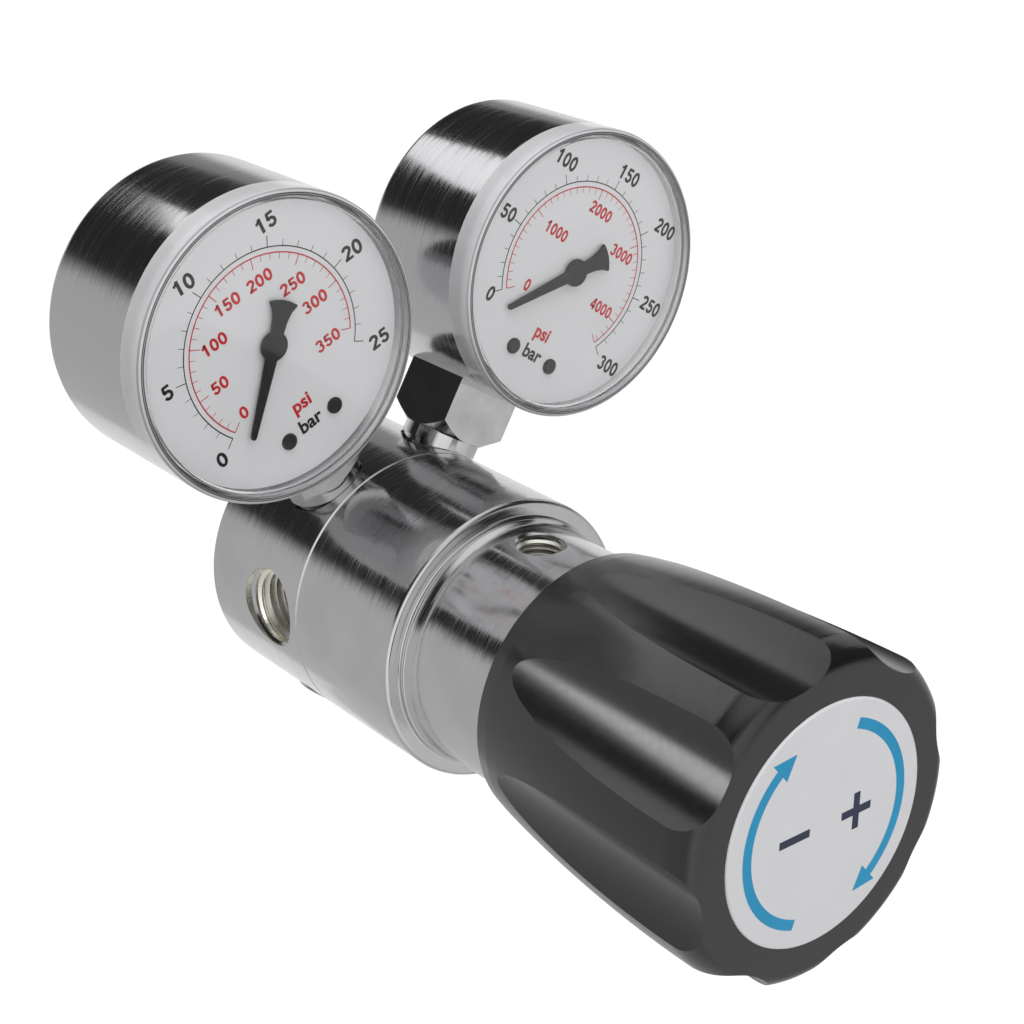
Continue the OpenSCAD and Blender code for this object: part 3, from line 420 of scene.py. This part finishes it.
def mark_strip(points, faces, angle, inner, outer, width):
    """Adds a radial mark."""
    ux, uy = clock_point(angle, 1.0)
    w = width / 2
    corners = ((inner, w), (inner, -w), (outer, -w), (outer, w))
    strip(points, faces, [(ux * r + uy * off, uy * r - ux * off) for r, off in corners])


trial_points, trial_faces = [], []
arc_strip(trial_points, trial_faces, 15, 0.2, -90, 90)
print("half a circle has", len(trial_faces), "strips")

# %% [markdown]
# ## Scale marks
# A dial has a black outer scale in bar and a red inner one in psi, and 250 degrees hold the whole bar scale.
# A small mark is 0.1 mm wide and a large one 0.15 mm. The marks could be listed one by one, but a scale is
# regular, so each mark's angle is worked out from its value.

# %% Marks
SWEEP = 250
BAR_PER_PSI = 1 / 14.5038
# For each scale: full value, step of the large marks, step of the small ones.
SCALES = {
    "outlet": {"bar": (25, 5, 1), "psi": (350, 50, 10)},
    "inlet": {"bar": (300, 50, 10), "psi": (4350, 1000, 100)},
}
# For each unit: radius of the arc, its width, and whether marks stand outwards or inwards from it.
ARCS = {"bar": (15.45, 0.19, 1), "psi": (14.5, 0.21, -1)}
LARGE_MARK, LARGE_WIDTH = 1.75, 0.15
SMALL_MARK, SMALL_WIDTH = 1.05, 0.1


def angle_of(side, unit, value):
    """Clock angle of a value on the dial, before the dial's own turn."""
    full = SCALES[side]["bar"][0]
    share = value * (BAR_PER_PSI if unit == "psi" else 1.0) / full
    return -SWEEP / 2 + SWEEP * share


def scale_marks(side, unit):
    """Points and faces of one scale's arc and marks, in millimetres from the dial's centre."""
    full, large, small = SCALES[side][unit]
    arc, width, way = ARCS[unit]
    points, faces = [], []
    last = angle_of(side, unit, full)
    arc_strip(points, faces, arc, width, -SWEEP / 2, last)
    for value in range(0, full + 1, small):
        length, thick = (LARGE_MARK, LARGE_WIDTH) if value % large == 0 else (SMALL_MARK, SMALL_WIDTH)
        inner, outer = sorted((arc, arc + way * length))
        mark_strip(points, faces, angle_of(side, unit, value), inner, outer, thick)
    if full % small:
        mark_strip(points, faces, last, arc - LARGE_MARK, arc, LARGE_WIDTH)
    return points, faces


for side in SCALES:
    for unit in ARCS:
        print(side, unit, "strips", len(scale_marks(side, unit)[1]))

# %% [markdown]
# ## Numerals
# The numerals are a bold plain face, upright in the dial's own frame, 2.5 mm high in black and 2.05 mm in
# red. Blender's own font has thinner figures of another width. Only the figures 0 to 5 occur, so each is
# drawn as a few broad strokes. A figure is 1 high, and a stroke is a list of points along its middle with
# the stroke's width.

# %% Figures as strokes


def oval(x, y, rx, ry, start, end, steps=18):
    """Points of an oval arc between two angles in degrees, counted from the right."""
    angles = [math.radians(start + (end - start) * i / steps) for i in range(steps + 1)]
    return [(x + rx * math.cos(a), y + ry * math.sin(a)) for a in angles]


FIGURES = {
    "0": [(oval(0.35, 0.5, 0.25, 0.415, 0, 360, 36), 0.22)],
    "1": [([(0.39, 0.0), (0.39, 1.0)], 0.23), ([(0.38, 0.94), (0.28, 0.8), (0.08, 0.7)], 0.19)],
    "2": [(oval(0.345, 0.7, 0.245, 0.215, 172, -28) + [(0.14, 0.1)], 0.22),
          ([(0.03, 0.095), (0.67, 0.095)], 0.19)],
    "3": [(oval(0.33, 0.725, 0.225, 0.19, 165, -80), 0.21), (oval(0.335, 0.3, 0.25, 0.22, 80, -165), 0.21)],
    "4": [([(0.49, 0.0), (0.49, 1.0)], 0.22), ([(0.46, 0.95), (0.07, 0.31)], 0.17),
          ([(0.01, 0.29), (0.69, 0.29)], 0.19)],
    "5": [([(0.15, 0.905), (0.64, 0.905)], 0.19), ([(0.2, 0.94), (0.14, 0.5)], 0.2),
          (oval(0.34, 0.33, 0.25, 0.245, 142, -162), 0.21)],
}
FIGURE_STEP = 0.79  # from one figure of a number to the next


def broad_stroke(path, width):
    """Points and faces of a flat stroke of a given width along a path."""
    points, faces = [], []
    closed = math.dist(path[0], path[-1]) < 1e-6
    for i, (x, y) in enumerate(path):
        before = path[i - 1] if i else path[-2 if closed else 0]
        after = path[i + 1] if i + 1 < len(path) else path[1 if closed else -1]
        dx, dy = after[0] - before[0], after[1] - before[1]
        k = width / 2 / math.hypot(dx, dy)
        points += [(x - dy * k, y + dx * k), (x + dy * k, y - dx * k)]
        if i:
            n = 2 * i
            faces.append((n - 2, n, n + 1, n - 1))
    return points, faces


def lay(points, faces, shape, at):
    """Adds a flat shape to the lists, moved to a point."""
    new_points, new_faces = shape
    faces.extend(tuple(i + len(points) for i in f) for f in new_faces)
    points.extend((x + at[0], y + at[1]) for x, y in new_points)


def number_mesh(text, height, squeeze):
    """Points and faces of a number centred on the origin, in millimetres, narrowed by squeeze."""
    points, faces = [], []
    for place, figure in enumerate(text):
        for path, width in FIGURES[figure]:
            lay(points, faces, broad_stroke(path, width), (place * FIGURE_STEP, 0))
    mid = (min(x for x, _ in points) + max(x for x, _ in points)) / 2
    return [((x - mid) * height * squeeze, (y - 0.5) * height) for x, y in points], faces


print("250 has", len(number_mesh("250", 2.5, 1.0)[1]), "faces")

# %% [markdown]
# ## Words
# The two units are short words, 2.4 mm high. Drawing their letters as strokes would take more work than it
# shows, so they come from Blender's own font, made a little bolder and turned into flat faces.

# %% Words as flat meshes
WORD_HEIGHT = 2.4
CAPITAL_SHARE = 0.73  # height of a capital in Blender's font as a share of the font's size
WORD_BOLD = 0.04  # how far a word's outline is moved outwards, as a share of its height


def word_mesh(text, height):
    """Points and faces of a word centred on the origin. height is that of a capital, in millimetres."""
    curve = bpy.data.curves.new("word", "FONT")
    curve.body = text
    curve.size = height / CAPITAL_SHARE
    curve.offset = WORD_BOLD * height
    curve.resolution_u = 6
    writing = bpy.data.objects.new("word", curve)
    bpy.context.scene.collection.objects.link(writing)
    bpy.context.view_layer.update()
    mesh = bpy.data.meshes.new_from_object(writing)
    xs = [v.co.x for v in mesh.vertices]
    mid = (min(xs) + max(xs)) / 2
    points = [(v.co.x - mid, v.co.y - height / 2) for v in mesh.vertices]
    faces = [tuple(p.vertices) for p in mesh.polygons]
    bpy.data.objects.remove(writing)
    bpy.data.meshes.remove(mesh)
    bpy.data.curves.remove(curve)
    return points, faces


print("bar has", len(word_mesh("bar", WORD_HEIGHT)[1]), "faces")

# %% [markdown]
# ## The printed layers
# Each value's numeral stands off its mark, a little further out where the number is wide. Below the pivot
# come the two units. The lists give each numeral's place from the dial's centre, in millimetres. Ink is
# about 0.01 mm thick, so the black layer lies 0.012 mm above the enamel and the red one, which is printed
# after it, 0.018 mm. The two faces would flicker through each other if they lay in one plane.

# %% Print both dials
NUMERALS = {
    ("outlet", "bar"): {0: (-15.8, -10.7), 5: (-18.2, 4.7), 10: (-7.9, 17.5), 15: (8.1, 17.5),
                        20: (19.0, 4.6), 25: (16.7, -11.4)},
    ("outlet", "psi"): {0: (-9.1, -6.4), 50: (-10.4, 0.1), 100: (-8.1, 6.3), 150: (-3.3, 10.4),
                        200: (3.0, 10.3), 250: (7.6, 6.3), 300: (9.6, 1.4), 350: (8.7, -5.6)},
    ("inlet", "bar"): {0: (-14.5, -10.4), 50: (-18.8, 2.4), 100: (-12.6, 15.0), 150: (1.6, 18.9),
                       200: (14.9, 14.9), 250: (20.2, 2.2), 300: (17.4, -10.6)},
    ("inlet", "psi"): {0: (-8.1, -6.0), 1000: (-7.6, 4.2), 2000: (-0.6, 11.1), 3000: (8.2, 7.0),
                       4000: (9.6, -2.7)},
}
# For each unit: its ink, the height of its numerals, where its word stands, and how far it lies above.
LAYERS = {"bar": (black_ink, 2.5, -15.3, 0.012), "psi": (red_ink, 2.05, -11.5, 0.018)}
SQUEEZE = {"outlet": 1.0, "inlet": 0.86}  # the inlet's longer numbers are narrower
for side in SCALES:
    for unit, (ink, height, word_y, lift) in LAYERS.items():
        points, faces = scale_marks(side, unit)
        for value, at in NUMERALS[side, unit].items():
            lay(points, faces, number_mesh(str(value), height, SQUEEZE[side]), at)
        lay(points, faces, word_mesh(unit, WORD_HEIGHT), (0, word_y))
        where = gauge_place(side, DIAL_TURN)
        placed = [where @ Vector((x, y, lift)) for x, y in points]
        piece(side + "_dial_print_" + unit, placed, faces, ink, "regulator")

# %% [markdown]
# ## Walls of the ports
# The side ports are cut with a tool that leaves a duller and warmer steel than the brushed outside. In the
# frame their bores are part of the body and share its finish. The faces of a bore could be picked out of the
# solid by their place, but it is plainer to lay a thin turned skin on the wall of each side port, from near
# the bottom of the bore up to the mouth.

# %% Port walls
PORT_AT = (0, -18, 0)  # where both side ports' axis crosses the regulator's, in millimetres
PORT_WAYS = {"outlet": (-1, 0, 0), "inlet": (1, 0, 0)}
BODY_CROWN = 24.2  # radius of the body's round surface
# Distance along the port's axis and radius: the bore, and the cone that opens it to the mouth.
PORT_WALL = [(14.6, 6.38), (22.58, 6.38), (22.98, 6.83)]
UNDER_SURFACE = 0.03  # how far a skin ends below the round surface


def across(axis):
    """Two directions square to an axis and to each other."""
    side = axis.orthogonal().normalized()
    return side, axis.cross(side)


def lining(name, origin, axis, profile, crown, material, steps=64):
    """A thin turned skin on a bore's wall, from a profile of (distance along the axis, radius).

    Its last ring lies just under the body's round surface of radius crown. All in millimetres."""
    axis = Vector(axis)
    side, other = across(axis)
    mouth_r = profile[-1][1]
    points, faces = [], []
    for k in range(steps):
        a = 2 * math.pi * k / steps
        out = side * math.cos(a) + other * math.sin(a)
        surface = math.sqrt(crown ** 2 - (mouth_r * out.z) ** 2)
        for reach, r in profile + [(surface - UNDER_SURFACE, mouth_r)]:
            points.append((Vector(origin) + axis * reach + out * r) * MM)
    n = len(profile) + 1
    for k in range(steps):
        for j in range(n - 1):
            a, b = k * n + j, (k + 1) % steps * n + j
            faces.append((a, b, b + 1, a + 1))
    return piece(name, points, faces, material, "regulator")


for side, way in PORT_WAYS.items():
    wall = lining(side + "_port_wall", PORT_AT, way, PORT_WALL, BODY_CROWN, thread_steel)
    print(wall.name, len(wall.data.polygons), "faces")

# %% [markdown]
# ## Screw threads
# The side ports take a 1/4 inch pipe thread, 18 to the inch, and the vent a finer one, while the solids have
# plain bores. A bump could fake the ridges, but they show in outline against the light. So each is a helical
# strip that stands in from the wall: its section has two feet just inside the wall, two flanks and a narrow
# crest, and is swept round the axis.

# %% Threads
FOOT_SUNK = 0.02  # how far a ridge's feet lie inside the wall, in millimetres
FOOT_HALF, CREST_HALF = 0.46, 0.1  # half the width of a ridge at its feet and crest, in pitches


def thread(name, origin, axis, wall_r, depth, pitch, start, length, material, steps=48):
    """A helical ridge inside a bore, in millimetres. origin is on the axis; start and length run along it."""
    axis = Vector(axis)
    side, other = across(axis)
    section = [(FOOT_SUNK, -FOOT_HALF), (-depth, -CREST_HALF), (-depth, CREST_HALF), (FOOT_SUNK, FOOT_HALF)]
    count = int(length / pitch * steps)
    half_turn = steps * 0.5
    points, faces = [], []
    for i in range(count + 1):
        a = 2 * math.pi * i / steps
        fade = min(1.0, i / half_turn, (count - i) / half_turn)  # the ridge runs out over half a turn
        for out, along in section:
            r = wall_r + (out if out > 0 else out * fade)
            reach = start + pitch * (i / steps + along)
            outwards = side * math.cos(a) + other * math.sin(a)
            points.append((Vector(origin) + axis * reach + outwards * r) * MM)
    n = len(section)
    for i in range(count):
        for j in range(n - 1):
            faces.append((i * n + j, i * n + j + 1, (i + 1) * n + j + 1, (i + 1) * n + j))
    return piece(name, points, faces, material, "regulator")


for side, way in PORT_WAYS.items():
    thread(side + "_port_thread", PORT_AT, way, wall_r=6.4, depth=0.75, pitch=25.4 / 18, start=14.9,
           length=7.0, material=thread_steel)
thread("vent_thread", (0, -60.8, 0), (0, 0, 1), wall_r=4.0, depth=0.5, pitch=1.0, start=16.0,
       length=3.9, material=thread_steel)

# %% [markdown]
# ## Label
# The cap in the knob's face carries a plain mark for the way to turn: two blue arcs with arrow heads, and a
# minus and a plus in navy, printed flat on the foil. It could be a picture on the foil, but the same strips
# as on the dials keep its edges sharp. It rides on the knob, so it turns with it.

# %% Print the label
FACE = 123.6  # from the part's rear face to the label's foil
LABEL_LIFT = 0.012
# The arrows and the signs, in millimetres and degrees, from the middle of the label.
ARROW_R, ARROW_WIDTH, ARROW_SWEEP = 15.4, 1.7, 120
HEAD_HALF, HEAD_SWEEP = 2.2, 14
SIGN_X, SIGN_HALF, BAR_HALF = 6.2, 3.0, 0.65


def print_on_label(name, points, faces, ink):
    """A printed layer on the label's foil, from points in millimetres."""
    placed = [STAND @ Vector((x * MM, y * MM, (FACE + LABEL_LIFT) * MM)) for x, y in points]
    return piece(name, placed, faces, ink, "knob_body")


def rectangle(points, faces, low, high):
    """Adds a rectangle between its lowest and highest corners."""
    strip(points, faces, [low, (high[0], low[1]), high, (low[0], high[1])])


points, faces = [], []
for start in (20, 200):
    end = start + ARROW_SWEEP
    arc_strip(points, faces, ARROW_R, ARROW_WIDTH, start, end, steps=60)
    k = len(points)
    points += [clock_point(end, ARROW_R - HEAD_HALF), clock_point(end, ARROW_R + HEAD_HALF)]
    points.append(clock_point(end + HEAD_SWEEP, ARROW_R))
    faces.append((k, k + 1, k + 2))
print_on_label("label_arrows", points, faces, blue_ink)
points, faces = [], []
for x in (-SIGN_X, SIGN_X):
    rectangle(points, faces, (x - SIGN_HALF, -BAR_HALF), (x + SIGN_HALF, BAR_HALF))
rectangle(points, faces, (SIGN_X - BAR_HALF, BAR_HALF), (SIGN_X + BAR_HALF, SIGN_HALF))
rectangle(points, faces, (SIGN_X - BAR_HALF, -SIGN_HALF), (SIGN_X + BAR_HALF, -BAR_HALF))
print_on_label("label_signs", points, faces, navy_ink)
print("label printed at", FACE, "mm")

# %% [markdown]
# ## Floor
# A pale floor lies well below the part, so that no hard shadow falls on it. Seen directly it is white, as in
# a studio with a lit sweep. It is left out of reflections, because its far edge would draw a line across
# every steel cylinder; what the steel mirrors below the horizon is the room's own light grey.

# %% Floor
FLOOR_SIZE, FLOOR_HEIGHT = 8, -0.6  # in metres
FLOOR_CLOUDS = 3.0  # soft clouds from one edge to the other
bpy.ops.mesh.primitive_plane_add(size=FLOOR_SIZE, location=(0, 0, FLOOR_HEIGHT))
floor = bpy.context.object
floor.name = "studio_floor"
floor.visible_glossy = False


def seen_directly(tree):
    """One for rays that reach the eye straight or through clear plastic, else nothing."""
    rays = add(tree, "LightPath").outputs
    either = add(tree, "Math", {0: rays["Is Camera Ray"], 1: rays["Is Transmission Ray"]},
                 operation="MAXIMUM")
    return either.outputs[0]


floor_paint, tree, shader = finish("pale_floor", Roughness=0.9)
mottle = add(tree, "TexNoise", Scale=FLOOR_CLOUDS)
tones = [(0.3, hex_rgb("#F2F2F2")), (0.7, hex_rgb("#F6F6F6"))]
tint = add(tree, "ValToRGB", {0: mottle.outputs[0]}, stops=tones)
tree.links.new(tint.outputs[0], shader.inputs["Base Color"])
white = add(tree, "Emission", Strength=1.05)
mix = add(tree, "MixShader", {0: seen_directly(tree), 1: shader.outputs[0], 2: white.outputs[0]})
tree.links.new(mix.outputs[0], tree.nodes["Material Output"].inputs["Surface"])
floor.data.materials.append(floor_paint)
print("floor at", FLOOR_HEIGHT, "m")

# %% [markdown]
# ## Room
# Brushed steel shows mostly what it reflects, so the room is what makes it look like steel. Walls and lamps
# could be modelled, but a gradient in the world's light does it with soft edges. From below the horizon to a
# little above it the room is light grey, then comes a dark band, and straight above it is white. The bands
# lie a little lower on the right. In front of the part, where the viewer stands, the room is bright on the
# left and dimmer to the right, with a dark screen above the horizon at the right.

# %% Room
BAND_TILT = 0.06  # how much lower the bands lie at the far right than in the middle
# Place 0 is straight below, 0.5 the horizon and 1 straight above.
BANDS = [(0.0, grey(0.62)), (0.555, grey(0.62)), (0.585, grey(0.35)), (0.615, grey(0.03)),
         (0.89, grey(0.03)), (0.96, grey(1.0)), (1.0, grey(1.0))]
world = bpy.data.worlds.new("studio_room")
world.use_nodes = True
bpy.context.scene.world = world
bpy.context.scene.view_settings.view_transform = "Standard"
tree = world.node_tree
sky = tree.nodes["Background"]
direction = add(tree, "TexCoord").outputs["Generated"]
to_right, to_back, to_top = add(tree, "SeparateXYZ", {0: direction}).outputs
height = add(tree, "Math", {0: to_right, 1: BAND_TILT, 2: to_top}, operation="MULTIPLY_ADD")
share = add(tree, "MapRange", {0: height.outputs[0]}, From_Min=-1.0, From_Max=1.0, To_Min=0.0, To_Max=1.0)
room = add(tree, "ValToRGB", {0: share.outputs[0]}, stops=BANDS)
in_front = add(tree, "MapRange", {0: to_back}, From_Min=-0.45, From_Max=-0.65, To_Min=0.0, To_Max=1.0)
front_light = add(tree, "MapRange", {0: to_right}, From_Min=-0.6, From_Max=0.6, To_Min=1.25, To_Max=0.75)
screen_side = add(tree, "MapRange", {0: to_right}, From_Min=0.1, From_Max=0.45, To_Min=0.0, To_Max=1.0)
screen_top = add(tree, "MapRange", {0: to_top}, From_Min=-0.1, From_Max=0.2, To_Min=0.0, To_Max=1.0)
screen = add(tree, "Math", {0: screen_side.outputs[0], 1: screen_top.outputs[0]}, operation="MULTIPLY")
front = add(tree, "Mix", {"Factor": screen.outputs[0], 2: front_light.outputs[0], 3: 0.04})
around = add(tree, "Mix", {"Factor": in_front.outputs[0], 6: room.outputs[0], 7: front.outputs[0]},
             data_type="RGBA")
shown = add(tree, "Mix", {"Factor": seen_directly(tree), 6: around.outputs[2], 7: grey(1.0)},
            data_type="RGBA")
tree.links.new(shown.outputs[2], sky.inputs["Color"])
print("room bands", len(BANDS))

# %% [markdown]
# ## Soft panels
# A studio adds lamps with white cloth in front, and black flags keep each off what it shouldn't touch. Here
# each lamp is an area light, and light linking does what the flags do. The long soft streak on each gauge
# case is one small window, placed where that cylinder mirrors it. The knob has a strip for the streak in its
# flute and a dim ceiling for the tops of its ridges. The port has a lamp of its own, as its inside mirrors
# only itself. The big lamp overhead lights the dials and the label; it isn't mirrored, or it would whiten
# the hollow beside the bonnet's flange.

# %% Panels


def panel(name, at, aim, size, glow, only=None, turn=0):
    """A soft area light at a point, in metres, that looks at another and glows evenly.

    size is its width and height, and glow is on the same scale as the room's light. only names the pieces
    that it lights, when it is flagged off from the rest. turn rolls it about its own axis, in degrees."""
    light = bpy.data.lights.new(name, "AREA")
    light.shape = "RECTANGLE"
    light.size, light.size_y = size
    light.energy = size[0] * size[1] * math.pi * glow
    lamp = bpy.data.objects.new(name, light)
    lamp.location = at
    look = (Vector(aim) - Vector(at)).to_track_quat("-Z", "Y").to_matrix()
    lamp.rotation_euler = (look @ Matrix.Rotation(math.radians(turn), 3, "Z")).to_euler()
    lamp.visible_camera = False
    lamp.visible_transmission = False
    bpy.context.scene.collection.objects.link(lamp)
    if only:
        flagged = bpy.data.collections.new(name + "_lights")
        for piece_name in only:
            flagged.objects.link(bpy.data.objects[piece_name])
        lamp.light_linking.receiver_collection = flagged
    return lamp


outlet_case, inlet_case = "outlet_gauge_case", "inlet_gauge_case"
all_but_cases = [name for name in nodes if name not in (outlet_case, inlet_case)]
port_inside = ["outlet_port_wall", "outlet_port_thread"]
knob_middle = (-0.03, -0.1, 0.01)
panel("back_window", (-0.055, 0.15, 0.205), (0, -0.02, 0.05), (0.1, 0.05), 0.6, only=all_but_cases)
panel("outlet_gauge_window", (-0.057, 0.151, 0.211), (-0.042, -0.02, 0.073), (0.055, 0.04), 1.6,
      only=[outlet_case])
panel("inlet_gauge_window", (-0.016, 0.11, 0.187), (0.014, -0.02, 0.071), (0.08, 0.05), 1.45,
      only=[inlet_case])
panel("knob_window", (-0.5, 0.25, 0.19), knob_middle, (0.25, 0.14), 7, only=["knob"], turn=67)
panel("knob_ceiling", (-0.04, 0.23, 0.345), knob_middle, (0.38, 0.2), 1.4, only=["knob"])
panel("right_wall", (0.3, 0.28, -0.05), (0.3, 0, -0.05), (0.7, 0.5), 0.28)
panel("high_right_wall", (0.42, 0.03, 0.21), (0, -0.055, 0.02), (0.25, 0.2), 0.7)
panel("port_window", (-0.3, -0.15, 0.2), (-0.02, -0.018, 0), (0.16, 0.16), 3, only=port_inside)
overhead = panel("overhead", (0, -0.25, 1.3), (0, -0.2, 0), (1.2, 1.2), 3.2)
overhead.visible_glossy = False

# %% [markdown]
# ## Camera
# The photograph was taken from the front left and above, with a lens of about 74 mm. Its place and direction
# were worked out from the circles and scales in the picture, and are set here as they came out.

# %% Camera
VIEW_FROM = Vector((-192.7, -291.7, 159.1)) * MM
FOCAL_PX, PICTURE_PX = 2108.4, 1024  # focal length and width of the picture in pixels
SENSOR = 36  # in millimetres
turn, rise, roll = (math.radians(a) for a in (-38.977, 23.875, 0.286))
back = Vector((math.sin(turn) * math.cos(rise), -math.cos(turn) * math.cos(rise), math.sin(rise)))
right = Vector((0, 0, 1)).cross(back).normalized()
up = back.cross(right)
right, up = right * math.cos(roll) + up * math.sin(roll), up * math.cos(roll) - right * math.sin(roll)
lens = bpy.data.cameras.new("photo_camera")
lens.lens = FOCAL_PX / PICTURE_PX * SENSOR
lens.sensor_width = SENSOR
lens.clip_start = 0.01
lens.clip_end = 100
camera = bpy.data.objects.new("photo_camera", lens)
camera.matrix_world = Matrix((
    (right.x, up.x, back.x, VIEW_FROM.x), (right.y, up.y, back.y, VIEW_FROM.y),
    (right.z, up.z, back.z, VIEW_FROM.z), (0, 0, 0, 1)))
bpy.context.scene.collection.objects.link(camera)
bpy.context.scene.camera = camera
print("camera at", [round(v, 3) for v in VIEW_FROM], "lens", round(lens.lens, 1))

# %% [markdown]
# ## Finish

# %% Finish
print("scene dressed")
